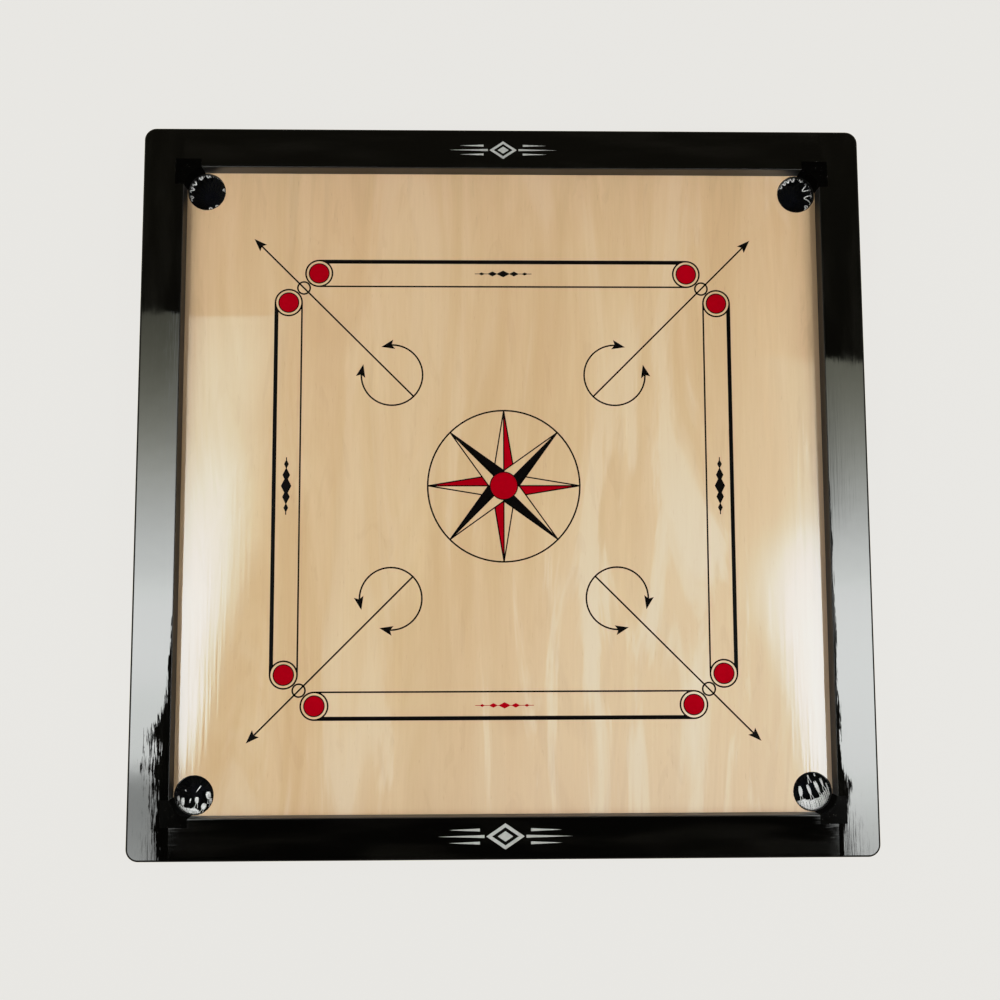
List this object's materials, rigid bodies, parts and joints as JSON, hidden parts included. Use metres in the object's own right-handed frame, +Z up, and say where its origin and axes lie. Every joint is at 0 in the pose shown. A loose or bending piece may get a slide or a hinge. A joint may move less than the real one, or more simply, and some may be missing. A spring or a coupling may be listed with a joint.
{
  "type": "carrom board",
  "caption": "Square carrom board: black lacquered frame round a varnished plywood panel with printed lines, a netted pocket in each corner and battens underneath.",
  "frame": {"origin": "on the surface that the board rests on, under its centre", "axes": "+Z up out of the playing surface, +X to the right, -Y towards the front of the board"},
  "size_m": [0.828, 0.828, 0.0461],
  "materials": {
    "black_lacquer": "gloss black lacquer over wood",
    "lacquered_plywood": "clear gloss varnish over birch plywood",
    "bare_wood": "sawn, unvarnished",
    "dowel_wood": "turned, unvarnished",
    "screw_brass": "yellow zinc plated",
    "steel_wire": "drawn wire",
    "dark_yarn": "knotted yarn",
    "white_yarn": "twisted yarn",
    "black_ink": "printed, under clear varnish",
    "red_ink": "printed, under clear varnish",
    "silver_ink": "printed"
  },
  "bodies": {
    "root": {"left_rail": "black_lacquer", "right_rail": "black_lacquer", "front_rail": "black_lacquer", "back_rail": "black_lacquer", "tenon_pins": "dowel_wood", "playing_panel": "lacquered_plywood", "corner_block_back_left": "black_lacquer", "corner_block_back_right": "black_lacquer", "corner_block_front_left": "black_lacquer", "corner_block_front_right": "black_lacquer", "corner_block_nails": "steel_wire", "pocket_net_back_left": "dark_yarn", "pocket_net_back_right": "dark_yarn", "pocket_net_front_left": "dark_yarn", "pocket_net_front_right": "dark_yarn", "net_rim_cord_back_left": "white_yarn", "net_rim_cord_back_right": "white_yarn", "net_rim_cord_front_left": "white_yarn", "net_rim_cord_front_right": "white_yarn", "net_staples": "steel_wire", "batten_left": "bare_wood", "batten_right": "bare_wood", "batten_front": "bare_wood", "batten_back": "bare_wood", "batten_screws": "screw_brass", "bead_front_left": "bare_wood", "bead_front_middle": "bare_wood", "bead_front_right": "bare_wood", "bead_right_front": "bare_wood", "bead_right_middle": "bare_wood", "bead_right_back": "bare_wood", "bead_back_right": "bare_wood", "bead_back_middle": "bare_wood", "bead_back_left": "bare_wood", "bead_left_back": "bare_wood", "bead_left_middle": "bare_wood", "bead_left_front": "bare_wood", "bead_nails": "steel_wire", "black_print": "black_ink", "red_print": "red_ink", "silver_print": "silver_ink"}
  },
  "joints": []
}
